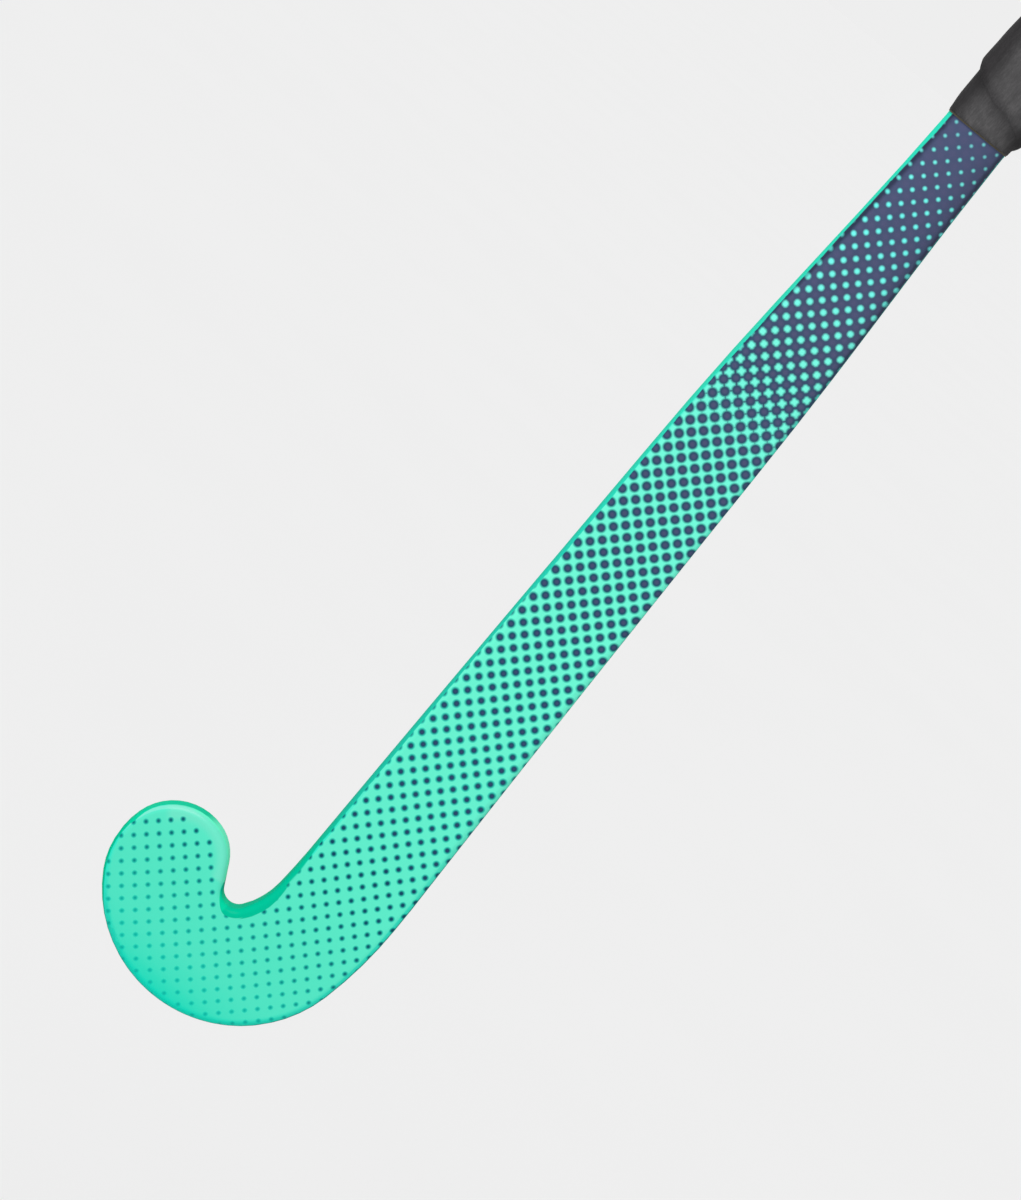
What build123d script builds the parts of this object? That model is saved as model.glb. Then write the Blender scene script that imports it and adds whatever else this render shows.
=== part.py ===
from build123d import *
import math
import os

# Field hockey stick, right-handed head, made as a moulded composite stick is made.
# Millimetres. +Z runs up the straight handle and the handle axis is the Z axis.
# The origin is on that axis in the plane of the handle's cut end, where the end cap sits,
# so the stick hangs below it and only the cap's top is above it.
# The toe of the head points to -X and the flat playing face looks to -Y.
# Heights named "from the base" are measured along the playing face, from the base of the head.

# ---- Overall ----
LENGTH = 927.0              # base of the head to the top of the cap, a 36.5 inch stick
BOND = 0.1                  # glue line between pieces that are seated on each other
SEGMENTS = 10               # stations in the tapering part of the shaft

# ---- Bow: the face is flat at the head, then one long arc, then straight ----
BOW_LENGTH = 255.0          # length of the bowed stretch along the face, above the head
BOW_RADIUS = 1700.0         # gives a bow of about 22 mm

# ---- Head outline, from the heel round the base and the toe to the crook ----
HEEL_X = 24.3               # heel side of the shaft above the head
HEEL_RADIUS = 180.0
HEEL_TURN = 13.15           # degrees that the heel arc turns before the base arc
BASE_RADIUS = 58.6
TOE_TURN = 29.9             # degrees below level where the base arc meets the toe arc
TOE_RADIUS = 35.0
TIP_TURN = 16.2             # degrees above level where the toe arc meets the tip arc
TIP_RADIUS = 24.9
LIP_TURN = 73.3             # degrees above level where the tip arc meets the lip arc
LIP_RADIUS = 20.8
CROOK_SLOPE = 26.9          # degrees of the straight toe side of the crook off upright
CROOK_STRAIGHT = 10.5
CROOK_RADIUS = 6.3
CROOK_TURN = 36.6           # degrees below level where the crook arc meets the throat arc
THROAT_RADIUS = 33.7
THROAT_LEAN = 4.5           # degrees of lean left where the throat runs into the shaft
HEAD_TOP = 98.0             # height from the base where the flat head ends and the bowed shaft begins

# ---- Shaft and handle sections ----
HEAD_DEPTH = 21.0           # front to back at the head
NECK_LENGTH = 158.0         # stretch over which the blade narrows to the handle
NECK_TO_GRIP = 2.5          # bare handle section between the neck and the grip
NECK_WIDTH = 41.2           # width where the neck begins
NECK_X = -0.8               # middle of the blade there, a little to the toe side of the handle axis
DEPTH_START = 250.0         # height from the base where the shaft begins to thicken
HANDLE_WIDTH = 29.0
HANDLE_DEPTH = 28.0
FACE_EDGE = 3.0             # rounding of the playing face's edge
BACK_EDGE = 9.0             # rounding of the back of the head
HANDLE_FACE_EDGE = 12.0
HANDLE_BACK_EDGE = 13.6
SMALLEST_EDGE = 0.6         # least rounding left inside the laminate

# ---- Inside ----
WALL = 2.5                  # cured laminate of the outer shell
TUBE_WALL = 0.9             # each inner tube; two of them back to back make the centre web
CORE_TOP = 130.0            # height from the base of the top of the head's foam core
PLY = 1.0                   # impact ply behind the playing face
PLY_TOP = 76.0              # height from the base of the top of the impact ply
PLUG_LENGTH = 60.0          # foam block in the open end of the handle

# ---- Grip and cap ----
GRIP_LENGTH = 430.0         # lower edge of the grip tape to the end of the cap
TAPE = 1.8                  # grip tape
UNDER_SLEEVE = 0.7          # soft sleeve under the grip tape
FINISH = 0.3                # finishing tape under the grip's lower edge
FINISH_WIDTH = 11.0
FINISH_SHOWS = 1.2          # width of finishing tape left in sight below the grip
GRIP_RAMP = 26.0            # length over which the grip reaches its full size
GRIP_BEVEL = 1.0
CAP_RADIUS = 17.5
CAP_TOP = 3.0
CAP_SKIRT = 9.0             # how far the cap reaches down over the handle
CAP_ROUND = 1.5
STEM_RADIUS = 6.0
STEM_LENGTH = 20.0

# ---- Worked out from the sizes above ----
BOW_ANGLE = BOW_LENGTH / BOW_RADIUS
BOW_END = HEAD_TOP + BOW_LENGTH
SHELL_END = LENGTH - CAP_TOP - BOND
CAP_EDGE = SHELL_END - CAP_SKIRT
GRIP_START = LENGTH - GRIP_LENGTH
NECK_END = GRIP_START - NECK_TO_GRIP
NECK_START = NECK_END - NECK_LENGTH
PLUG_START = SHELL_END - PLUG_LENGTH
TAPE_INNER = BOND + FINISH + BOND
GRIP_INNER = BOND + UNDER_SLEEVE + BOND
BEYOND = 5.0                # how far a cutting tool reaches past what it cuts
NEAR = 0.01                 # closer than this counts as lying in a plane
SHORTEST = 0.001            # a line shorter than this is left out of the outline


def face_point(height):
    """Point (y, z) of the playing face's centre line, and its lean, at a height from the base."""
    above = height - BOW_END
    if above >= 0:
        return -HANDLE_DEPTH / 2, height - SHELL_END, 0.0
    top_z = BOW_END - SHELL_END
    angle = min(-above / BOW_RADIUS, BOW_ANGLE)
    y = -HANDLE_DEPTH / 2 - BOW_RADIUS * (1 - math.cos(angle))
    z = top_z - BOW_RADIUS * math.sin(angle)
    flat = max(HEAD_TOP - height, 0.0)
    return y - flat * math.sin(angle), z - flat * math.cos(angle), angle


def section_plane(height):
    """Plane across the stick: local x is X, local y runs from the face to the back."""
    y, z, angle = face_point(height)
    return Plane(origin=(0, y, z), x_dir=(1, 0, 0), z_dir=(0, math.sin(angle), math.cos(angle)))


def ramp(height, start, end):
    """Smooth 0 to 1 between two heights."""
    t = min(max((height - start) / (end - start), 0.0), 1.0)
    return t * t * (3 - 2 * t)


def mix(first, second, share):
    return first + (second - first) * share


def direction(angle):
    return Vector(math.cos(math.radians(angle)), math.sin(math.radians(angle)))


def head_arcs():
    """The head outline as (centre, radius, first angle, last angle, bulges), heel to throat.

    The arcs run smoothly into each other: the centres follow from the radii and the turns."""
    arcs = []
    heel_drop = HEEL_RADIUS * math.sin(math.radians(HEEL_TURN))
    heel_in = HEEL_RADIUS * (1 - math.cos(math.radians(HEEL_TURN)))
    base_x = HEEL_X - heel_in - BASE_RADIUS * math.cos(math.radians(HEEL_TURN))
    base = Vector(base_x, BASE_RADIUS)
    heel = base + direction(-HEEL_TURN) * (BASE_RADIUS - HEEL_RADIUS)
    arcs.append((heel, HEEL_RADIUS, 0, -HEEL_TURN, True))
    arcs.append((base, BASE_RADIUS, -HEEL_TURN, TOE_TURN - 180, True))
    toe = base + direction(TOE_TURN - 180) * (BASE_RADIUS - TOE_RADIUS)
    arcs.append((toe, TOE_RADIUS, TOE_TURN - 180, -180 - TIP_TURN, True))
    tip = toe + direction(-180 - TIP_TURN) * (TOE_RADIUS - TIP_RADIUS)
    arcs.append((tip, TIP_RADIUS, -180 - TIP_TURN, LIP_TURN - 360, True))
    lip = tip + direction(LIP_TURN) * (TIP_RADIUS - LIP_RADIUS)
    arcs.append((lip, LIP_RADIUS, LIP_TURN, CROOK_SLOPE, True))
    down = direction(CROOK_SLOPE - 90) * CROOK_STRAIGHT
    crook = lip + direction(CROOK_SLOPE) * (LIP_RADIUS + CROOK_RADIUS) + down
    arcs.append((crook, CROOK_RADIUS, 180 + CROOK_SLOPE, 360 - CROOK_TURN, False))
    throat = crook + direction(-CROOK_TURN) * (CROOK_RADIUS - THROAT_RADIUS)
    arcs.append((throat, THROAT_RADIUS, -CROOK_TURN, -THROAT_LEAN, False))
    lean = math.sin(math.radians(THROAT_LEAN))
    rise = HEAD_TOP - (throat.Y - THROAT_RADIUS * lean)
    reach = rise / lean
    side = throat + direction(-THROAT_LEAN) * (THROAT_RADIUS - reach)
    arcs.append((side, reach, -THROAT_LEAN, 0, False))
    return arcs


HEAD_ARCS = head_arcs()
TOE_SIDE_X = HEAD_ARCS[-1][0].X + HEAD_ARCS[-1][1]


def arc_points(arc, inset):
    """Start, middle and end of one arc of the outline, moved in by inset."""
    centre, radius, first, last, bulges = arc
    moved = radius - inset if bulges else radius + inset
    return [centre + direction(a) * moved for a in (first, (first + last) / 2, last)]


def head_outline(inset):
    """Flat J-shaped face of the head, seen from the playing side, closed along its top."""
    edges = []
    start = Vector(HEEL_X - inset, HEAD_TOP)
    here = start
    for arc in HEAD_ARCS:
        first, middle, last = arc_points(arc, inset)
        if (first - here).length > SHORTEST:
            edges.append(Edge.make_line(here, first))
        edges.append(Edge.make_three_point_arc(first, middle, last))
        here = last
    edges.append(Edge.make_line(here, start))
    return Face(Wire(edges))


def head_plane(depth):
    """Plane of the playing face moved back by depth; local x is X, local y runs up the face."""
    y, z, angle = face_point(0)
    normal = Vector(0, -math.cos(angle), math.sin(angle))
    return Plane(origin=Vector(0, y, z) - normal * depth, x_dir=(1, 0, 0), z_dir=normal)


def rim(solid, plane):
    """Edges of the solid that lie in the plane, apart from the one at the top of the head."""
    top = section_plane(HEAD_TOP)
    found = []
    for edge in solid.edges():
        in_plane = all(abs(plane.to_local_coords(edge @ t).Z) < NEAR for t in (0, 0.5, 1))
        at_top = abs(top.to_local_coords(edge @ 0.5).Z) < NEAR
        if in_plane and not at_top:
            found.append(edge)
    return found


def head(inset):
    """The head below HEAD_TOP, with its rounded edges, as a full solid moved in by inset."""
    front, back = head_plane(inset), head_plane(HEAD_DEPTH - inset)
    solid = extrude(front * head_outline(inset), HEAD_DEPTH - 2 * inset, dir=-front.z_dir)
    solid = fillet(rim(solid, back), BACK_EDGE - inset)
    return fillet(rim(solid, front), max(FACE_EDGE - inset, SMALLEST_EDGE))


def side_x(height):
    """X of the toe side and the heel side of the shaft."""
    share = min((height - HEAD_TOP) / (NECK_START - HEAD_TOP), 1.0)
    toe = mix(TOE_SIDE_X, NECK_X - NECK_WIDTH / 2, share)
    heel = mix(HEEL_X, NECK_X + NECK_WIDTH / 2, share)
    straight = min(max((height - NECK_START) / NECK_LENGTH, 0.0), 1.0)
    slim = (straight + ramp(height, NECK_START, NECK_END)) / 2
    return mix(toe, -HANDLE_WIDTH / 2, slim), mix(heel, HANDLE_WIDTH / 2, slim)


def section(height, inset):
    """Cross-section: flat face with small edges in front, rounded back."""
    toe, heel = side_x(height)
    neck = ramp(height, NECK_START, NECK_END)
    left, right = toe + inset, heel - inset
    front = inset
    back = mix(HEAD_DEPTH, HANDLE_DEPTH, ramp(height, DEPTH_START, NECK_END)) - inset
    face_edge = max(mix(FACE_EDGE, HANDLE_FACE_EDGE, neck) - inset, SMALLEST_EDGE)
    back_edge = mix(BACK_EDGE, HANDLE_BACK_EDGE, neck) - inset
    edges = [
        Edge.make_line((left + face_edge, front), (right - face_edge, front)),
        corner(right - face_edge, front + face_edge, face_edge, -90),
        Edge.make_line((right, front + face_edge), (right, back - back_edge)),
        corner(right - back_edge, back - back_edge, back_edge, 0),
        Edge.make_line((right - back_edge, back), (left + back_edge, back)),
        corner(left + back_edge, back - back_edge, back_edge, 90),
        Edge.make_line((left, back - back_edge), (left, front + face_edge)),
        corner(left + face_edge, front + face_edge, face_edge, 180),
    ]
    return section_plane(height) * Face(Wire(edges))


def corner(x, y, radius, first):
    """Quarter arc about (x, y), counter-clockwise from the angle first."""
    centre = Vector(x, y)
    points = [centre + direction(first + turn) * radius for turn in (0, 45, 90)]
    return Edge.make_three_point_arc(*points)


def shaft(inset):
    """The tapering, bowed shaft between the head and the handle."""
    step = (NECK_END - HEAD_TOP) / SEGMENTS
    faces = [section(HEAD_TOP + i * step, inset) for i in range(SEGMENTS + 1)]
    return loft(faces)


def handle(start, end, inset):
    """Straight length of handle section between two heights from the base."""
    at_start = Pos(0, 0, start - NECK_END) * section(NECK_END, inset)
    return extrude(at_start, end - start, dir=(0, 0, 1))


def blank(inset, end):
    """Whole stick up to a height from the base, as a full solid moved in by inset."""
    return head(inset) + shaft(inset) + handle(NECK_END, end, inset)


def slab(low, high):
    """Big block between two stations of the stick, used to cut pieces to length."""
    size = 4 * LENGTH
    low_plane, high_plane = section_plane(low), section_plane(high)
    above_low = low_plane * Box(size, size, size, align=(Align.CENTER, Align.CENTER, Align.MIN))
    below_high = high_plane * Box(size, size, size, align=(Align.CENTER, Align.CENTER, Align.MAX))
    return above_low & below_high


def ply_zone(grow):
    """Block just behind the playing face that holds the impact ply."""
    depth = WALL + BOND + PLY + grow
    tall = 2 * (PLY_TOP + grow)
    outward = (Align.CENTER, Align.CENTER, Align.MIN)
    return head_plane(depth) * Box(LENGTH, tall, depth + BEYOND, align=outward)


def face_impact_ply(filler):
    """Thin extra layer behind the flat of the playing face."""
    return filler & ply_zone(0)


def head_foam_core(filler):
    """Foam that fills the head, stepped back where the impact ply lies."""
    core = filler & slab(-BEYOND, CORE_TOP)
    return core - ply_zone(BOND)


def inner_tube(filler, hollow, side):
    """One of the two tubes that lie side by side in the shaft; side is -1 for toe, 1 for heel."""
    size = 4 * LENGTH
    align = (Align.MIN if side > 0 else Align.MAX, Align.CENTER, Align.CENTER)
    half = Pos(side * BOND / 2, 0, 0) * Box(size, size, size, align=align)
    room = Pos(side * (BOND / 2 + TUBE_WALL), 0, 0) * Box(size, size, size, align=align)
    length = slab(CORE_TOP + BOND, PLUG_START - BOND)
    return (filler & length & half) - (hollow & room)


def handle_foam_plug():
    """Foam block that stiffens the handle end and holds the cap's stem."""
    block = handle(PLUG_START, SHELL_END, WALL + BOND)
    top_down = (Align.CENTER, Align.CENTER, Align.MAX)
    bore = Cylinder(STEM_RADIUS + BOND, STEM_LENGTH + BOND, align=top_down)
    return block - bore


def end_cap():
    """Rubber cap with a skirt over the handle end and a stem into the foam."""
    top_down = (Align.CENTER, Align.CENTER, Align.MAX)
    cup = Pos(0, 0, BOND + CAP_TOP) * Cylinder(CAP_RADIUS, CAP_SKIRT + BOND + CAP_TOP, align=top_down)
    cup = fillet(cup.edges().sort_by(Axis.Z)[-1], CAP_ROUND)
    cup -= handle(CAP_EDGE - BEYOND, SHELL_END + BOND, -BOND)
    return cup + Pos(0, 0, BOND) * Cylinder(STEM_RADIUS, STEM_LENGTH + BOND, align=top_down)


def grip_finishing_tape():
    """Thin band wound round the shaft under the grip's lower edge."""
    low = GRIP_START - FINISH_SHOWS
    high = low + FINISH_WIDTH
    return handle(low, high, -BOND - FINISH) - handle(low - BEYOND, high + BEYOND, -BOND)


def under_grip_sleeve():
    """Soft sleeve between the shell and the grip tape."""
    low = GRIP_START - FINISH_SHOWS + FINISH_WIDTH + BOND
    high = CAP_EDGE - BOND
    return handle(low, high, -BOND - UNDER_SLEEVE) - handle(low - BEYOND, high + BEYOND, -BOND)


def grip_tape():
    """Wound grip tape as one sleeve with a bevelled lower edge."""
    step = GRIP_START - FINISH_SHOWS + FINISH_WIDTH
    high = CAP_EDGE - BOND
    full = GRIP_START + GRIP_RAMP
    low_face = Pos(0, 0, GRIP_START - NECK_END) * section(NECK_END, -TAPE_INNER - TAPE + GRIP_BEVEL)
    bevel_face = Pos(0, 0, GRIP_START + GRIP_BEVEL - NECK_END) * section(NECK_END, -TAPE_INNER - TAPE)
    full_face = Pos(0, 0, full - NECK_END) * section(NECK_END, -GRIP_INNER - TAPE)
    outside = loft([low_face, bevel_face], ruled=True) + loft([bevel_face, full_face], ruled=True)
    outside += handle(full, high, -GRIP_INNER - TAPE)
    outside -= handle(GRIP_START - BEYOND, step, -TAPE_INNER)
    return outside - handle(step, high + BEYOND, -GRIP_INNER)


def build():
    """Every piece by name. The shell, its fillings and its tubes are all cut from the stick's own form."""
    outside = blank(0, SHELL_END)
    cavity = blank(WALL, SHELL_END + BEYOND)
    filler = blank(WALL + BOND, SHELL_END)
    hollow = blank(WALL + BOND + TUBE_WALL, SHELL_END)
    return {
        "outer_shell": outside - cavity,
        "face_impact_ply": face_impact_ply(filler),
        "head_foam_core": head_foam_core(filler),
        "inner_tube_toe_side": inner_tube(filler, hollow, -1),
        "inner_tube_heel_side": inner_tube(filler, hollow, 1),
        "handle_foam_plug": handle_foam_plug(),
        "end_cap": end_cap(),
        "grip_finishing_tape": grip_finishing_tape(),
        "under_grip_sleeve": under_grip_sleeve(),
        "grip_tape": grip_tape(),
    }


os.makedirs("parts", exist_ok=True)
for name, shape in build().items():
    export_step(shape, "parts/" + name + ".step")
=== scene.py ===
# Field hockey stick: looks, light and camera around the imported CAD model.
# Metres, in the CAD frame: +Z up the handle, toe to -X, playing face to -Y, origin at the handle's cut end.
import math

import bmesh
import bpy
from mathutils import Matrix, Vector


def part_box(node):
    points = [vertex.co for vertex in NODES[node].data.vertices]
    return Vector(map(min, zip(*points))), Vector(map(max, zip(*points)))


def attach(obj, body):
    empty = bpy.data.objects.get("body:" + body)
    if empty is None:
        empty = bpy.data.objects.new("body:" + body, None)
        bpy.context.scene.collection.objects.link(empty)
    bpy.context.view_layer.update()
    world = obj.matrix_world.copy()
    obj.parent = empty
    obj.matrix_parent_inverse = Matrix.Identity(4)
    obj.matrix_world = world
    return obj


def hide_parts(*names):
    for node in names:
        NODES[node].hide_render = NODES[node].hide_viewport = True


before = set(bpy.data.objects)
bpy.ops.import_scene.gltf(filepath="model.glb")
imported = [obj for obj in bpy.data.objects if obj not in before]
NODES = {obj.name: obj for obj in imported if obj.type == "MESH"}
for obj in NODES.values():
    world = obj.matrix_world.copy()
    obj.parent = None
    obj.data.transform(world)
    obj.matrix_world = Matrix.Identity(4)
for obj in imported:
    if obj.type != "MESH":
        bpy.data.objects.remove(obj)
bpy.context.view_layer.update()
MM = 0.001

# ---- What the frame gives ----
SHELL_LOW, SHELL_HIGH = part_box("outer_shell")
TAPE_LOW, TAPE_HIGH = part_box("grip_tape")

# ---- Shape of the stick, as far as the print follows it ----
BOW_START_Z = SHELL_HIGH[2] - 571 * MM     # where the straight handle ends and the bow begins
BOW_RADIUS = 1.7
HEAD_LEAN = 0.15                           # radians that the flat head leans forward
LIP_CENTRE = (-0.0665, -0.8688)            # x and z of the middle of the hook's rounded lip
CROOK_CENTRE = (-0.0376, -0.8659)          # and of the arc in the crook
THROAT_CENTRE = (-0.0596, -0.8498)         # and of the wider arc above it, up to the shaft
BASE_CENTRE = (-0.0375, -0.8620)           # and of the round base
HOOK_REACH = 30.0 * MM                     # the hook's round end lies this near to the middle of the lip
LIP_REACH = 23.5 * MM                      # and the lip itself this near
BARE_LIP = 17.5 * MM                       # dots on the lip stop this far from its middle
CROOK_BAND = 7.2 * MM                      # the teal in the crook reaches this far from the crook's middle
CROOK_BAND_WIDENS = 2.9 * MM               # and this much farther on the shaft's side
THROAT_BAND = 33.7 * MM                    # and this far from the throat's middle, with up to 4.4 mm more
LINE = 0.2 * MM                            # half the softness of a painted line
BASE_RIM = (55.6 * MM, 58.2 * MM)          # distance from the base's middle over which the painted rim shade deepens

# ---- Print on the stick ----
BASE_Z = -0.9239                           # heights in the print are measured from here
PRINT_HEIGHT = 0.5                         # the colours and dots run through their ramps over this height
# The dots stand where two sets of lines cross: steps across and along the stick, for x and the height in
# tenths of a metre. Both are a polynomial, because the print stretches a little round the head, and below
# the first tenth the stretch is more: there the second polynomial, for x and the depth below it, is added.
STEPS_ACROSS = {
    (0, 0): 0.512, (0, 1): 0.071, (0, 2): -0.062, (0, 3): 0.0139,
    (1, 0): 27.142, (1, 1): 0.233, (2, 0): 0.365,
}
STEPS_ALONG = {
    (0, 0): -39.838, (0, 1): 26.434, (0, 2): 0.1665,
    (1, 0): -0.990, (1, 1): 0.210, (2, 0): -1.841,
}
HEAD_ACROSS = {(0, 1): -0.345, (0, 2): 1.387, (1, 1): 2.259, (1, 2): -2.481, (2, 1): 0.638}
HEAD_ALONG = {(0, 1): 0.045, (0, 2): 0.108, (1, 1): 1.492, (1, 2): -1.048, (2, 1): 1.023}
TOP_DRIFT = 0.13                           # steps that the dots just below the grip lie lower and heelwards


# ---------------------------------------------------------------- node helpers
class Graph:
    """Small helper that writes a material's nodes as expressions."""

    def __init__(self, name):
        self.material = bpy.data.materials.new(name)
        self.material.use_nodes = True
        self.tree = self.material.node_tree
        self.tree.nodes.clear()
        self.output = self.tree.nodes.new("ShaderNodeOutputMaterial")

    def node(self, kind, **settings):
        made = self.tree.nodes.new(kind)
        for key, value in settings.items():
            setattr(made, key, value)
        return made

    def put(self, socket, value):
        if isinstance(value, bpy.types.NodeSocket):
            self.tree.links.new(value, socket)
        else:
            socket.default_value = value

    def math(self, operation, *values):
        made = self.node("ShaderNodeMath", operation=operation)
        for socket, value in zip(made.inputs, values):
            self.put(socket, value)
        return made.outputs[0]

    def chain(self, operation, first, *others):
        for other in others:
            first = self.math(operation, first, other)
        return first

    def add(self, *values):
        return self.chain("ADD", *values)

    def mul(self, *values):
        return self.chain("MULTIPLY", *values)

    def most(self, *values):
        return self.chain("MAXIMUM", *values)

    def sub(self, a, b):
        return self.math("SUBTRACT", a, b)

    def inverse(self, share):
        return self.sub(1.0, share)

    def smooth(self, value, low, high):
        """Smooth 0 to 1 as value goes from low to high."""
        made = self.node("ShaderNodeMapRange", interpolation_type="SMOOTHSTEP")
        self.put(made.inputs["Value"], value)
        self.put(made.inputs["From Min"], low)
        self.put(made.inputs["From Max"], high)
        return made.outputs["Result"]

    def passes(self, value, limit, soft):
        """Smooth 0 to 1 as value passes limit, from soft below it to soft above it."""
        return self.smooth(self.sub(value, limit), -soft, soft)

    def ramp(self, value, stops):
        """Colour ramp from (position, colour) stops; colours are written as sRGB 0-255 or as a grey 0-1."""
        made = self.node("ShaderNodeValToRGB")
        ramp = made.color_ramp
        while len(ramp.elements) < len(stops):
            ramp.elements.new(0.5)
        for element, (position, colour) in zip(ramp.elements, stops):
            element.position = position
            element.color = rgb(colour)
        self.put(made.inputs["Fac"], value)
        return made.outputs["Color"]

    def mix(self, share, first, second, mode="MIX"):
        """Colour that goes from first to second."""
        made = self.node("ShaderNodeMix", data_type="RGBA", blend_type=mode)
        self.put(made.inputs[0], share)
        self.put(made.inputs[6], first)
        self.put(made.inputs[7], second)
        return made.outputs[2]

    def tint(self, share, colour, by):
        """Colour multiplied by another where share is 1."""
        return self.mix(share, colour, rgb(by), mode="MULTIPLY")

    def polynomial(self, terms, x, z):
        """Sum of coefficient * x^i * z^j for terms {(i, j): coefficient}."""
        total = None
        for (i, j), coefficient in terms.items():
            value = coefficient
            for factor in [x] * i + [z] * j:
                value = self.mul(factor, value)
            total = value if total is None else self.add(total, value)
        return total

    def blend(self, share, first, second):
        """Number that goes from first to second."""
        return self.add(first, self.mul(share, self.sub(second, first)))

    def distance(self, first, second):
        """Distance between two points."""
        made = self.node("ShaderNodeVectorMath", operation="DISTANCE")
        self.put(made.inputs[0], first)
        self.put(made.inputs[1], second)
        return made.outputs["Value"]

    def coords(self):
        return self.node("ShaderNodeTexCoord").outputs["Object"]

    def split(self, vector):
        made = self.node("ShaderNodeSeparateXYZ")
        self.put(made.inputs[0], vector)
        return made.outputs[0], made.outputs[1], made.outputs[2]

    def join(self, x, y, z):
        made = self.node("ShaderNodeCombineXYZ")
        for socket, value in zip(made.inputs, (x, y, z)):
            self.put(socket, value)
        return made.outputs[0]

    def noise(self, vector, scale, detail=3.0, roughness=0.5, stretch=(1, 1, 1)):
        mapping = self.node("ShaderNodeMapping")
        mapping.inputs["Scale"].default_value = stretch
        self.put(mapping.inputs["Vector"], vector)
        made = self.node("ShaderNodeTexNoise")
        made.inputs["Scale"].default_value = scale
        made.inputs["Detail"].default_value = detail
        made.inputs["Roughness"].default_value = roughness
        self.put(made.inputs["Vector"], mapping.outputs[0])
        return made.outputs["Fac"]

    def bump(self, height, strength, distance):
        made = self.node("ShaderNodeBump")
        made.inputs["Strength"].default_value = strength
        made.inputs["Distance"].default_value = distance
        self.put(made.inputs["Height"], height)
        return made.outputs[0]

    def surface(self, colour, roughness, normal=None, **constants):
        """Principled surface; the constants are set on its own sockets by name."""
        shader = self.node("ShaderNodeBsdfPrincipled")
        self.put(shader.inputs["Base Color"], colour)
        self.put(shader.inputs["Roughness"], roughness)
        if normal is not None:
            self.put(shader.inputs["Normal"], normal)
        for key, value in constants.items():
            self.put(shader.inputs[key.replace("_", " ")], value)
        self.put(self.output.inputs["Surface"], shader.outputs[0])
        return self.material


def linear(channel):
    channel /= 255
    return channel / 12.92 if channel <= 0.04045 else ((channel + 0.055) / 1.055) ** 2.4


def rgb(colour):
    """sRGB 0-255 triple, or a grey 0-1 that is used as it stands."""
    if isinstance(colour, (int, float)):
        return (colour, colour, colour, 1.0)
    return tuple(linear(c) for c in colour) + (1.0,)


# ---------------------------------------------------------------- materials
def print_dots(g, x, height, share):
    """Share of navy ink, 0 to 1, and the distance from the middle of the navy dot, in the dot's radii."""
    tenths = g.mul(x, 10.0)
    below = g.most(g.inverse(height), 0.0)
    drift = g.mul(g.smooth(share, 0.90, 1.00), TOP_DRIFT)
    across = g.add(g.polynomial(STEPS_ACROSS, tenths, height), g.polynomial(HEAD_ACROSS, tenths, below))
    along = g.add(g.polynomial(STEPS_ALONG, tenths, height), g.polynomial(HEAD_ALONG, tenths, below))
    across, along = g.sub(across, drift), g.add(along, drift)
    one = g.math("PINGPONG", g.mul(g.add(across, along), 0.5), 0.5)
    other = g.math("PINGPONG", g.mul(g.sub(along, across), 0.5), 0.5)
    place = g.join(one, other, 0.0)
    to_navy = g.distance(place, (0.0, 0.0, 0.0))                  # from the middle of the nearest navy dot
    to_mint = g.distance(place, (0.5, 0.5, 0.0))                  # from the middle of the nearest mint dot
    navy_radius = g.ramp(share, [
        (0.00, 0.128), (0.08, 0.150), (0.20, 0.210), (0.38, 0.305), (0.50, 0.374),
        (0.70, 0.440), (0.76, 0.452), (0.82, 0.478), (0.90, 0.524), (1.00, 0.594),
    ])
    mint_radius = g.ramp(share, [
        (0.62, 0.63), (0.68, 0.48), (0.74, 0.310), (0.78, 0.268), (0.90, 0.176), (0.98, 0.120),
        (1.00, 0.11),
    ])
    softness = g.ramp(share, [
        (0.16, 0.120), (0.24, 0.135), (0.32, 0.148), (0.48, 0.140), (0.60, 0.134), (0.78, 0.134),
        (0.90, 0.120), (0.96, 0.108),
    ])
    in_navy = g.smooth(g.math("DIVIDE", g.sub(navy_radius, to_navy), softness), -1.0, 1.0)
    past_mint = g.smooth(g.math("DIVIDE", g.sub(to_mint, mint_radius), softness), -1.0, 1.0)
    return g.most(in_navy, past_mint), g.math("DIVIDE", to_navy, navy_radius)


def ground_colour(g, share):
    """Mint of the ground; near the grip, where the navy runs together, only dots are left of it."""
    return g.ramp(share, [
        (0.004, (0, 206, 180)), (0.008, (14, 215, 184)), (0.012, (36, 216, 184)), (0.018, (46, 218, 185)),
        (0.026, (62, 221, 188)), (0.050, (76, 224, 191)), (0.10, (82, 226, 192)), (0.20, (93, 233, 199)),
        (0.36, (104, 241, 207)), (0.48, (110, 248, 213)), (0.66, (116, 252, 221)), (0.76, (123, 254, 229)),
        (0.90, (114, 255, 246)), (0.93, (118, 255, 243)), (0.96, (118, 242, 232)), (0.98, (115, 212, 213)),
    ])


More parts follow.
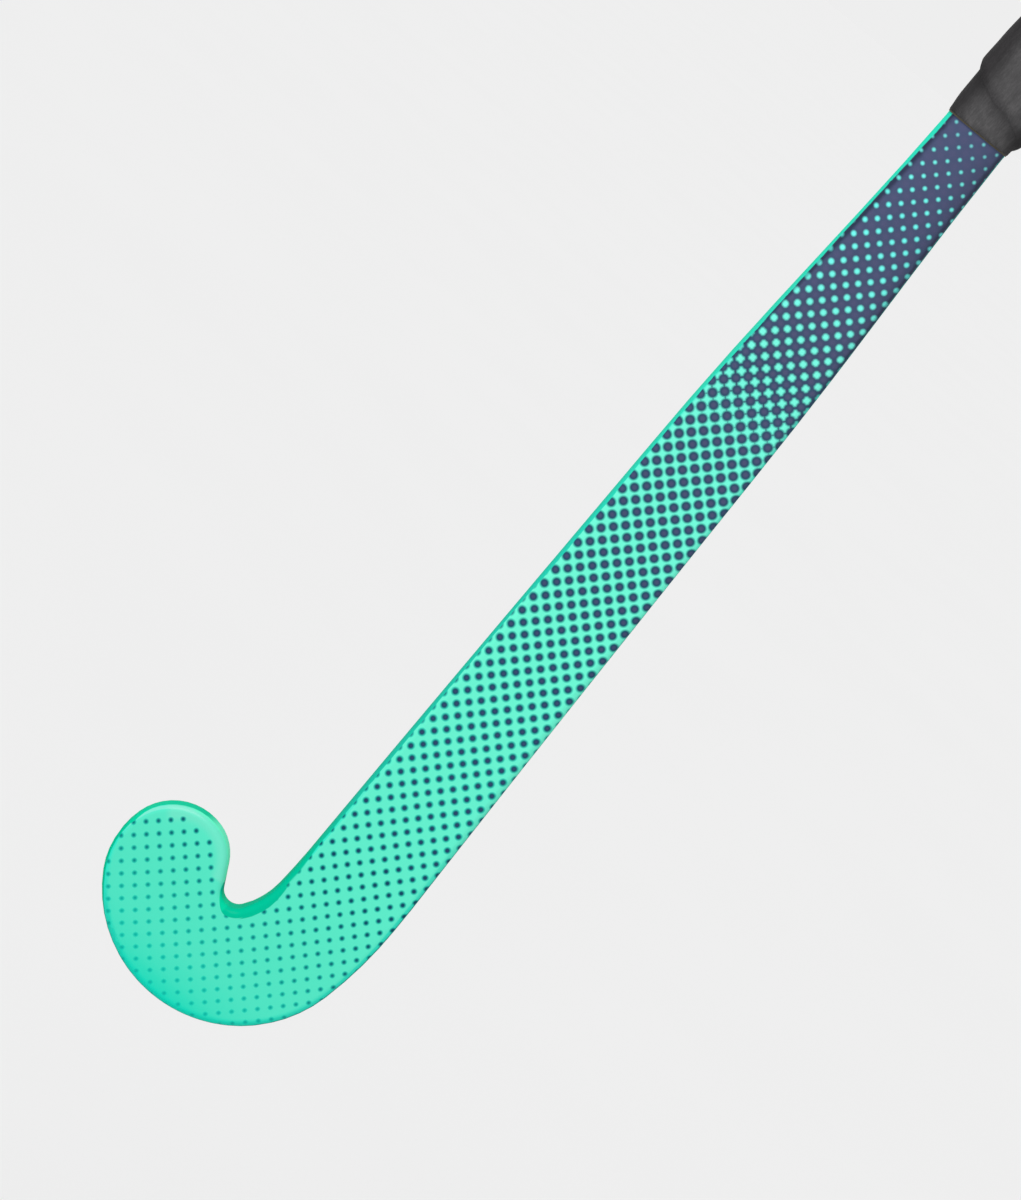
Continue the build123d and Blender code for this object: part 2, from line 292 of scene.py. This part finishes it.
def ink_colour(g, share, outward):
    """Navy of the dots, teal low on the head, and a little greener towards a dot's edge."""
    middle = g.ramp(share, [
        (0.00, (0, 180, 160)), (0.045, (0, 174, 156)), (0.075, (0, 146, 138)), (0.105, (0, 120, 124)),
        (0.135, (0, 94, 108)), (0.165, (0, 76, 98)), (0.20, (12, 64, 94)), (0.24, (34, 64, 98)),
        (0.30, (46, 66, 102)), (0.40, (56, 72, 107)), (0.50, (68, 77, 111)), (0.72, (80, 84, 117)),
        (0.95, (80, 85, 118)),
    ])
    edge = g.ramp(share, [
        (0.00, (0, 180, 160)), (0.045, (0, 174, 156)), (0.075, (0, 144, 136)), (0.105, (0, 118, 122)),
        (0.135, (0, 94, 108)), (0.165, (0, 76, 98)), (0.20, (0, 66, 94)), (0.24, (0, 66, 98)),
        (0.40, (0, 68, 98)), (0.50, (20, 72, 100)), (0.72, (48, 76, 105)), (0.80, (68, 81, 111)),
        (0.95, (75, 84, 116)),
    ])
    return g.mix(g.smooth(outward, 0.15, 0.80), middle, edge)


def printed_lacquer():
    """Mint to navy dot screen under clear lacquer, with solid teal along the toe side and the walls."""
    g = Graph("printed_lacquer")
    coords = g.coords()
    x, _, z = g.split(coords)
    height = g.mul(g.sub(z, BASE_Z), 10.0)                        # in tenths of a metre
    share = g.mul(height, 0.1 / PRINT_HEIGHT)                     # 0 at the base, 1 by the grip
    ink, outward = print_dots(g, x, height, share)

    normal = g.node("ShaderNodeNewGeometry").outputs["Normal"]
    nx, ny, nz = g.split(normal)
    sine = g.most(g.math("DIVIDE", g.sub(BOW_START_Z, z), BOW_RADIUS), 0.0)
    lean = g.math("MINIMUM", sine, HEAD_LEAN)
    facing = g.sub(g.mul(nz, lean), ny)                           # 1 on the playing face, -1 on the back
    upward = g.add(g.mul(nx, -0.6), g.mul(nz, 0.8))               # 1 on the toe side and top of the hook

    # Where a place lies on the hook: how far from the lip's middle, and how far beside it towards the crook.
    flat = g.join(x, 0.0, z)

    def distance_from(centre):
        return g.distance(flat, (centre[0], 0.0, centre[1]))

    def along_direction(centre, dx, dz):
        return g.add(g.mul(g.add(x, -centre[0]), dx), g.mul(g.add(z, -centre[1]), dz))

    from_lip = distance_from(LIP_CENTRE)
    beside_lip = along_direction(LIP_CENTRE, 0.77, 0.64)
    by_hook = g.mul(g.smooth(from_lip, HOOK_REACH, HOOK_REACH - 1.5 * MM), g.smooth(facing, -0.2, 0.0))
    above_lip = g.smooth(z, LIP_CENTRE[1] + 1.5 * MM, LIP_CENTRE[1] + 3.5 * MM)
    on_lip = g.mul(
        g.smooth(from_lip, LIP_REACH, LIP_REACH - 1.0 * MM), above_lip,
        g.smooth(beside_lip, -6 * MM, -2 * MM), g.smooth(facing, -0.20, -0.05),
    )
    hook_top = g.mul(by_hook, g.smooth(nz, 0.05, 0.30))

    # The teal in the crook covers a crescent of the face too: an arc round the crook, another up the throat.
    crook_reach = g.add(g.mul(g.smooth(x, -0.0440, -0.0360), CROOK_BAND_WIDENS), CROOK_BAND)
    round_crook = g.passes(crook_reach, distance_from(CROOK_CENTRE), LINE)
    up = g.mul(g.add(z, 0.876), 38.0)
    throat_reach = g.ramp(up, [(0.0, 0.38), (0.25, 0.44), (0.55, 0.43), (1.0, 0.30)])
    throat_reach = g.math("MULTIPLY_ADD", throat_reach, 0.01, THROAT_BAND)
    up_throat = g.mul(
        g.smooth(x, -0.0308, -0.0292), g.smooth(z, -0.849, -0.851),
        g.passes(throat_reach, distance_from(THROAT_CENTRE), LINE),
    )
    crescent = g.mul(g.most(round_crook, up_throat), g.smooth(facing, -0.1, 0.0))

    # On the heel side the print runs on round the edge; on the toe side and in the crook it stops at a line.
    # Each edge is the value of facing at which the print stops.
    toe_edge = g.ramp(share, [
        (0.30, 0.79), (0.345, 0.72), (0.40, 0.66), (0.45, 0.62), (0.49, 0.77), (0.57, 0.77), (0.61, 0.66),
        (0.68, 0.64), (0.72, 0.58), (0.77, 0.53), (0.80, 0.45), (0.83, 0.38), (0.86, 0.31), (0.89, 0.33),
        (0.92, 0.32), (0.95, 0.365), (0.98, 0.42),
    ])
    in_crook = g.mul(g.smooth(x, -0.051, -0.041), g.smooth(z, -0.826, -0.842))
    toe_edge = g.blend(in_crook, toe_edge, 0.97)
    hook_edge = g.ramp(g.math("MULTIPLY_ADD", beside_lip, 25.0, 0.5), [
        (0.00, 0.80), (0.05, 0.88), (0.165, 0.65), (0.325, 0.40), (0.50, 0.28), (0.675, 0.10),
    ])
    toe_edge = g.blend(hook_top, toe_edge, hook_edge)
    heel_edge = g.add(g.mul(g.smooth(share, 0.15, 0.35), -0.24), 0.55)
    front_edge = g.blend(g.smooth(upward, -0.15, 0.15), heel_edge, toe_edge)
    front = g.passes(facing, front_edge, 0.05)
    front = g.most(front, g.mul(on_lip, g.smooth(beside_lip, 11 * MM, 17 * MM)))
    front = g.mul(front, g.inverse(crescent))
    back = g.smooth(facing, -0.80, -0.84)
    on_print = g.most(front, back)

    # The ground is painted with shade, deeper in colour, round the edge of the head, and painted with
    # highlights, paler, on the lip.
    ground = ground_colour(g, share)
    round_base = g.mul(g.smooth(distance_from(BASE_CENTRE), *BASE_RIM), g.smooth(z, -0.867, -0.880))
    # Painted shade: a deeper teal on the face's rounding round the head and on its round base.
    rim = g.mul(g.most(g.smooth(facing, 0.985, 0.90), round_base), g.smooth(share, 0.30, 0.18))
    rim = g.mul(rim, g.inverse(g.mul(by_hook, g.smooth(beside_lip, 0.0, 8 * MM))))
    low_left = g.mul(along_direction(BASE_CENTRE, 0.156, -0.988), 16.8)
    rim_shade_colour = g.mix(g.smooth(low_left, 0.35, 0.95), rgb((32, 226, 196)), rgb((0, 214, 184)))
    ground = g.mix(g.mul(rim, 0.85), ground, rim_shade_colour)
    # Painted highlight: the outer lip painted paler, where the light catches its rounding.
    pale = g.mul(on_lip, g.smooth(from_lip, 14 * MM, 18 * MM))
    ground = g.mix(g.mul(pale, 0.8), ground, rgb((112, 228, 198)))
    # Painted highlight along the rounding over the hook's top.
    fillet_highlight = g.mul(
        g.smooth(facing, 0.985, 0.86), g.smooth(facing, 0.30, 0.66),
        hook_top, g.smooth(beside_lip, 14 * MM, 4 * MM),
    )
    ground = g.mix(g.mul(fillet_highlight, 0.7), ground, rgb((140, 228, 206)))
    # Painted light: the lip's outer rounding painted a brighter green, as if lit.
    lip_edge_light = g.mul(g.smooth(facing, 0.75, 0.25), on_lip, g.smooth(beside_lip, 0.0, 10 * MM))
    ground = g.mix(g.mul(lip_edge_light, 0.9), ground, rgb((100, 255, 205)))

    # No dots on the outer part of the lip and on the rounding over the hook's top.
    bare_from = g.add(g.mul(g.smooth(beside_lip, 2 * MM, 10 * MM), -1.8 * MM), BARE_LIP)
    bare_lip = g.mul(on_lip, g.passes(from_lip, bare_from, 0.3 * MM))
    bare_top = g.mul(g.smooth(facing, 0.985, 0.96), g.smooth(beside_lip, -18.5 * MM, -15 * MM), hook_top)
    printable = g.inverse(g.most(bare_lip, bare_top))
    printed = g.mix(g.mul(ink, printable), ground, ink_colour(g, share, outward))
    fringe = g.ramp(share, [(0.00, 1.0), (0.32, 1.0), (0.48, 0.35), (0.70, 0.2), (0.80, 0.0)])
    fringe = g.mul(ink, g.inverse(ink), fringe, 4.0)              # cyan halo round each navy dot
    printed = g.tint(g.mul(fringe, printable), printed, (168, 252, 255))

    # Up the shaft the print is painted darker where it turns over the edges, as painted shade, the navy more
    # so than the mint dots.
    edge_shade_from = g.ramp(share, [(0.60, 0.93), (0.70, 0.90), (0.80, 0.78), (0.90, 0.74), (1.00, 0.71)])
    edge_shade = g.mul(
        g.smooth(g.sub(edge_shade_from, facing), 0.0, 0.24),
        g.smooth(share, 0.54, 0.66), g.smooth(facing, 0.0, 0.1),
    )
    mint = g.mul(g.inverse(ink), g.smooth(share, 0.80, 0.92))
    edge_shade = g.mul(edge_shade, g.inverse(g.mul(mint, 0.7)))
    # Colours of the painted edge shade, multiplied onto the print.
    edge_shade_tint = g.ramp(share, [
        (0.60, (190, 250, 246)), (0.74, (182, 228, 230)), (0.82, (166, 184, 190)), (1.00, (160, 164, 176)),
    ])
    printed = g.mix(edge_shade, printed, edge_shade_tint, mode="MULTIPLY")

    wall = g.ramp(share, [
        (0.00, (0, 190, 146)), (0.18, (0, 190, 150)), (0.24, (26, 190, 162)), (0.50, (36, 208, 180)),
        (0.70, (50, 226, 192)), (1.00, (46, 234, 200)),
    ])
    wall = g.mix(g.mul(hook_top, 0.8), wall, rgb((4, 212, 162)))
    # Painted shade: walls that face down, on the heel side and under the head, are painted a darker teal.
    wall = g.mix(g.mul(g.smooth(upward, 0.1, -0.3), 0.7), wall, rgb((0, 128, 136)))
    colour = g.mix(on_print, wall, printed)

    peel = g.noise(coords, 900.0, 2.0)
    ripple = g.noise(coords, 90.0, 2.0)
    relief = g.bump(g.add(peel, g.mul(ripple, 2.0)), 0.04, 0.0002)
    rough = g.add(g.mul(g.noise(coords, 260.0, 3.0), 0.10), 0.34)
    lacquer = g.blend(on_print, 0.04, 0.15)                       # thinner on the walls
    return g.surface(
        colour, rough, relief, Coat_Weight=lacquer, Specular_IOR_Level=0.0, Coat_Roughness=0.18,
    )


def grip_fabric():
    """Charcoal grip tape with a short nap: fine fibres and mottling, with painted shade in the creases where
    the turns overlap and down both sides.
    """
    g = Graph("grip_fabric")
    coords = g.coords()
    x, y, z = g.split(coords)
    round_turn = g.math("ARCTAN2", x, g.mul(y, -1.0))
    up = g.add(z, -(TAPE_LOW[2] + FIRST_CREASE))
    turns = g.math("MULTIPLY_ADD", round_turn, 0.5 / math.pi, g.mul(up, 1 / PITCH))
    over = g.math("FRACT", turns)                                 # 0 at a turn's lower edge, 1 at the next
    # Painted shade in the valley on both sides of each turn's edge.
    crease_shade = g.most(g.smooth(over, 0.80, 0.985), g.smooth(over, 0.17, 0.0))
    fibres = g.noise(coords, 1500.0, 4.0, 0.65, stretch=(1, 1, 0.30))
    streaks = g.noise(coords, 420.0, 3.0, 0.6, stretch=(1, 1, 0.16))
    mottle = g.noise(coords, 160.0, 4.0, 0.6)
    cloud = g.noise(coords, 26.0, 2.0)
    fine = g.add(g.mul(fibres, 0.35), g.mul(streaks, 0.25))
    tone = g.add(fine, g.add(g.mul(mottle, 0.25), g.mul(cloud, 0.15)))
    colour = g.ramp(tone, [(0.28, (57, 56, 57)), (0.5, (80, 79, 80)), (0.74, (106, 104, 105))])
    colour = g.tint(g.mul(crease_shade, 0.5), colour, (176, 175, 177))
    # Painted shade: both sides of the grip painted darker.
    side = g.most(g.smooth(x, -6.5 * MM, -15 * MM), g.smooth(x, 8 * MM, 16 * MM))
    colour = g.tint(side, colour, (152, 150, 152))                # painted shade down both sides, out of the light
    relief = g.bump(g.add(g.mul(fibres, 0.7), g.mul(mottle, 0.6)), 0.6, 0.0004)
    return g.surface(colour, 0.9, relief, Specular_IOR_Level=0.2)


def cap_rubber():
    """Matte black moulded rubber with a fine spark-eroded grain."""
    g = Graph("cap_rubber")
    coords = g.coords()
    grain = g.noise(coords, 2200.0, 3.0, 0.6)
    dust = g.noise(coords, 120.0, 3.0)
    colour = g.ramp(dust, [(0.3, (36, 36, 38)), (0.7, (48, 48, 50))])
    return g.surface(colour, g.add(g.mul(grain, 0.2), 0.55), g.bump(grain, 0.35, 0.0002))


def finishing_cloth():
    """Thin olive-brown cloth tape with a plain weave."""
    g = Graph("finishing_cloth")
    coords = g.coords()
    x, y, z = g.split(coords)
    turn = g.mul(g.math("ARCTAN2", x, y), 15.0)
    warp = g.math("SINE", g.mul(turn, 16.0))
    weft = g.math("SINE", g.mul(z, 9000.0))
    weave = g.math("MULTIPLY_ADD", g.mul(warp, weft), 0.5, 0.5)
    colour = g.ramp(weave, [(0.0, (56, 51, 40)), (1.0, (80, 73, 56))])
    return g.surface(colour, 0.8, g.bump(weave, 0.4, 0.0002))


def carbon_weave():
    """Cured braid of black carbon tows at 45 degrees."""
    g = Graph("carbon_weave")
    coords = g.coords()
    x, y, z = g.split(coords)
    one = g.math("SINE", g.mul(g.add(g.add(x, y), z), 1600.0))
    other = g.math("SINE", g.mul(g.sub(g.add(x, y), z), 1600.0))
    weave = g.smooth(g.sub(one, other), -0.6, 0.6)
    colour = g.mix(weave, rgb((20, 20, 22)), rgb((46, 46, 50)))
    return g.surface(colour, 0.35, g.bump(weave, 0.3, 0.0002), Coat_Weight=0.4, Coat_Roughness=0.2)


def aramid_weave():
    """Yellow aramid cloth wetted with resin."""
    g = Graph("aramid_weave")
    coords = g.coords()
    x, _, z = g.split(coords)
    weave = g.mul(g.math("SINE", g.mul(x, 2500.0)), g.math("SINE", g.mul(z, 2500.0)))
    colour = g.ramp(g.math("MULTIPLY_ADD", weave, 0.5, 0.5), [(0.0, (176, 146, 64)), (1.0, (214, 184, 96))])
    return g.surface(colour, 0.5, g.bump(weave, 0.3, 0.0002))


def foam(name, dark, light, cell):
    """Foam with fine cells."""
    g = Graph(name)
    coords = g.coords()
    made = g.node("ShaderNodeTexVoronoi")
    made.inputs["Scale"].default_value = cell
    g.put(made.inputs["Vector"], coords)
    cells = made.outputs["Distance"]
    colour = g.ramp(cells, [(0.1, dark), (0.6, light)])
    return g.surface(colour, 0.9, g.bump(cells, 0.5, 0.0004))


def dress(node, material):
    """Give a carried-over CAD node its finish."""
    slots = NODES[node].data.materials
    slots.clear()
    slots.append(material)


def dress_cad_nodes():
    carbon = carbon_weave()
    block = foam("block_foam", (190, 172, 128), (226, 212, 172), 900.0)
    dress("outer_shell", printed_lacquer())
    dress("face_impact_ply", aramid_weave())
    dress("head_foam_core", block)
    dress("handle_foam_plug", block)
    dress("inner_tube_toe_side", carbon)
    dress("inner_tube_heel_side", carbon)
    dress("end_cap", cap_rubber())
    dress("grip_finishing_tape", finishing_cloth())
    dress("under_grip_sleeve", foam("sleeve_foam", (22, 22, 23), (40, 40, 41), 1500.0))


# ---------------------------------------------------------------- grip
HANDLE_WIDTH = 29.0 * MM
HANDLE_DEPTH = 28.0 * MM
FRONT_EDGE = 12.0 * MM
BACK_EDGE = 13.6 * MM
GRIP_INNER = 0.12 * MM          # bond between the handle and what is wound on it
PITCH = 34.0 * MM               # rise of the tape in one turn
TURN_POINTS = 96
FIRST_CREASE = 11.5 * MM        # height of the second turn's edge above the grip's lower edge, at the front
GRIP_HANGS = 0.5 * MM           # the wound tape's edge hangs this far over the finishing tape
LAYER = 1.25 * MM               # the tape lying on the handle
CREST = 3.1 * MM                # the tape lying over the turn before
VALLEY = 1.7 * MM               # just below the next turn's edge
ROWS = (                        # millimetres up from a turn's edge at which the tape has points
    0.0, 0.3, 0.6, 1.0, 1.5, 2.0, 2.6, 3.3, 4.5, 6.5, 9.0, 12.0, 15.0, 18.0, 21.0, 24.0, 27.0, 30.0, 32.5,
)


def handle_point(angle, out):
    """Point of the handle's section moved out, for an outward normal at an angle from -Y towards +X."""
    nx, ny = math.sin(angle), -math.cos(angle)
    edge = FRONT_EDGE if ny < 0 else BACK_EDGE
    cx = math.copysign(HANDLE_WIDTH / 2 - edge, nx)
    cy = -HANDLE_DEPTH / 2 + edge if ny < 0 else HANDLE_DEPTH / 2 - edge
    return cx + nx * (edge + out), cy + ny * (edge + out)


def ease(value, start=0.0, end=1.0):
    """Smooth 0 to 1 as value goes from start to end."""
    value = min(max((value - start) / (end - start), 0.0), 1.0)
    return value * value * (3 - 2 * value)


def tape_height(w):
    """How far the tape stands out from the handle, w up from its turn's edge."""
    rise = 0.35 * ease(w, 0, 0.6 * MM) + 0.65 * ease(w, 0, 3.3 * MM)
    fall = 0.25 * ease(w, 4 * MM, 14 * MM) + 0.75 * ease(w, 14 * MM, PITCH)
    return VALLEY + (CREST - VALLEY) * rise * (1 - fall)


def end_height(above_end):
    """The tape's first turn, cut off square at the grip's lower end."""
    return 0.55 * MM + (LAYER - 0.55 * MM) * ease(above_end, -1 * MM, 8 * MM)


def grip_mesh():
    low, high = TAPE_LOW[2] - GRIP_HANGS, TAPE_HIGH[2]
    first = TAPE_LOW[2] + FIRST_CREASE
    turns = int((high - first) / PITCH) + 3
    start = first - 2 * PITCH
    bm = bmesh.new()
    grid = []
    for i in range(turns * TURN_POINTS + 1):
        angle = -2 * math.pi * i / TURN_POINTS
        edge = start + PITCH * i / TURN_POINTS
        crease = first + PITCH * ((i / TURN_POINTS) % 1)
        if crease - PITCH > low + 2 * MM:                         # the lowest turn's edge clear of the end
            crease -= PITCH
        column = []
        for w in ROWS:
            z = min(max(edge + w * MM, low), high)
            over = z - edge
            above_first = ease(z, crease - 1.5 * MM, crease + 1 * MM)
            out = end_height(z - low) * (1 - above_first) + tape_height(over) * above_first
            x, y = handle_point(angle, out)
            column.append(bm.verts.new((x, y, z)))
        grid.append(column)
    last = len(grid) - 1
    for i in range(last):
        for k in range(len(ROWS) - 1):
            bm.faces.new((grid[i][k], grid[i + 1][k], grid[i + 1][k + 1], grid[i][k + 1]))
        above = i + TURN_POINTS
        if above < last:
            bm.faces.new((grid[i][-1], grid[i + 1][-1], grid[above + 1][0], grid[above][0]))
    bmesh.ops.remove_doubles(bm, verts=bm.verts, dist=0.00002)
    bmesh.ops.dissolve_degenerate(bm, dist=0.00001, edges=bm.edges)
    close_inside(bm, low, high)
    bmesh.ops.recalc_face_normals(bm, faces=bm.faces)
    mesh = bpy.data.meshes.new("grip_tape_wound")
    bm.to_mesh(mesh)
    bm.free()
    return mesh


def close_inside(bm, low, high):
    """Turn both open ends in towards the handle, so that the tape's ends meet it; the inside of the sleeve
    stays open.
    """
    for end in (low, high):
        rim = [e for e in bm.edges if e.is_boundary and all(abs(v.co.z - end) < 1e-6 for v in e.verts)]
        inner = {}
        for vert in (v for edge in rim for v in edge.verts):
            if vert not in inner:
                x, y = handle_point(math.atan2(vert.co.x, -vert.co.y), GRIP_INNER)
                inner[vert] = bm.verts.new((x, y, vert.co.z))
        for first, second in [tuple(edge.verts) for edge in rim]:
            bm.faces.new((first, second, inner[second], inner[first]))


def wound_grip():
    """The grip tape as it is really wound: one long strip whose edges lie over each other."""
    obj = bpy.data.objects.new("grip_tape_wound", grip_mesh())
    bpy.context.scene.collection.objects.link(obj)
    for polygon in obj.data.polygons:
        polygon.use_smooth = True
    obj.data.materials.append(grip_fabric())
    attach(obj, "root")
    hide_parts("grip_tape")
    return obj


# ---------------------------------------------------------------- stage, light and camera
BACKGROUND = 238                # sRGB grey of the plain background
FLOOR_DROP = 0.5                # the floor lies this far below the head, which is held clear of it
FLOOR_SIZE = 120.0
AMBIENT = 0.40
KEY_STRENGTH = 2.13
KEY_DIRECTION = Vector((-0.35, -0.60, 0.85))      # from the stick towards the key light
KEY_SOFTNESS = math.radians(40)


def stage_floor():
    g = Graph("pale_floor")
    grain = g.noise(g.coords(), 3.0, 2.0)
    colour = g.ramp(grain, [(0.0, (246, 246, 246)), (1.0, (248, 248, 248))])
    mesh = bpy.data.meshes.new("floor")
    half = FLOOR_SIZE / 2
    z = SHELL_LOW[2] - FLOOR_DROP
    corners = [(-half, -half, z), (half, -half, z), (half, half, z), (-half, half, z)]
    mesh.from_pydata(corners, [], [(0, 1, 2, 3)])
    floor = bpy.data.objects.new("floor", mesh)
    bpy.context.scene.collection.objects.link(floor)
    floor.data.materials.append(g.surface(colour, 0.9, Specular_IOR_Level=0.0))


def stage_world():
    world = bpy.data.worlds.new("studio")
    bpy.context.scene.world = world
    world.use_nodes = True
    tree = world.node_tree
    tree.nodes.clear()
    path = tree.nodes.new("ShaderNodeLightPath")
    seen = tree.nodes.new("ShaderNodeMath")
    seen.operation = "MAXIMUM"
    tree.links.new(path.outputs["Is Camera Ray"], seen.inputs[0])
    mirror = tree.nodes.new("ShaderNodeMath")
    mirror.operation = "MAXIMUM"
    tree.links.new(path.outputs["Is Glossy Ray"], mirror.inputs[0])
    tree.links.new(path.outputs["Is Transmission Ray"], mirror.inputs[1])
    tree.links.new(mirror.outputs[0], seen.inputs[1])
    light, backdrop = (tree.nodes.new("ShaderNodeBackground") for _ in range(2))
    light.inputs["Color"].default_value = (1, 1, 1, 1)
    light.inputs["Strength"].default_value = AMBIENT
    backdrop.inputs["Color"].default_value = rgb((BACKGROUND, BACKGROUND, BACKGROUND))
    mix = tree.nodes.new("ShaderNodeMixShader")
    tree.links.new(seen.outputs[0], mix.inputs[0])
    tree.links.new(light.outputs[0], mix.inputs[1])
    tree.links.new(backdrop.outputs[0], mix.inputs[2])
    output = tree.nodes.new("ShaderNodeOutputWorld")
    tree.links.new(mix.outputs[0], output.inputs[0])


def key_light():
    light = bpy.data.lights.new("key", "SUN")
    light.energy = KEY_STRENGTH
    light.angle = KEY_SOFTNESS
    obj = bpy.data.objects.new("key", light)
    obj.rotation_euler = KEY_DIRECTION.to_track_quat("Z", "Y").to_euler()
    bpy.context.scene.collection.objects.link(obj)


CAMERA_PLACE = Vector((-0.11065, -1.350, -0.40311))
CAMERA_AZIMUTH = -3.619         # degrees round +Z; 0 looks along +Y
CAMERA_HEIGHT = 12.419          # degrees that the camera looks down
CAMERA_ROLL = 39.594            # degrees, so that the handle points to the upper right
CAMERA_LENS = 98.09             # millimetres on a sensor 36 mm tall


def camera():
    data = bpy.data.cameras.new("camera")
    data.sensor_fit = "VERTICAL"
    data.sensor_height = 36.0
    data.lens = CAMERA_LENS
    data.clip_end = 200.0
    obj = bpy.data.objects.new("camera", data)
    turn = Matrix.Rotation(math.radians(CAMERA_AZIMUTH), 4, "Z")
    tilt = Matrix.Rotation(math.radians(90 - CAMERA_HEIGHT), 4, "X")
    roll = Matrix.Rotation(math.radians(CAMERA_ROLL), 4, "Z")
    obj.matrix_world = Matrix.Translation(CAMERA_PLACE) @ turn @ tilt @ roll
    bpy.context.scene.collection.objects.link(obj)
    bpy.context.scene.camera = obj


bpy.context.scene.view_settings.view_transform = "Standard"
camera()
stage_floor()
stage_world()
key_light()
dress_cad_nodes()
wound_grip()
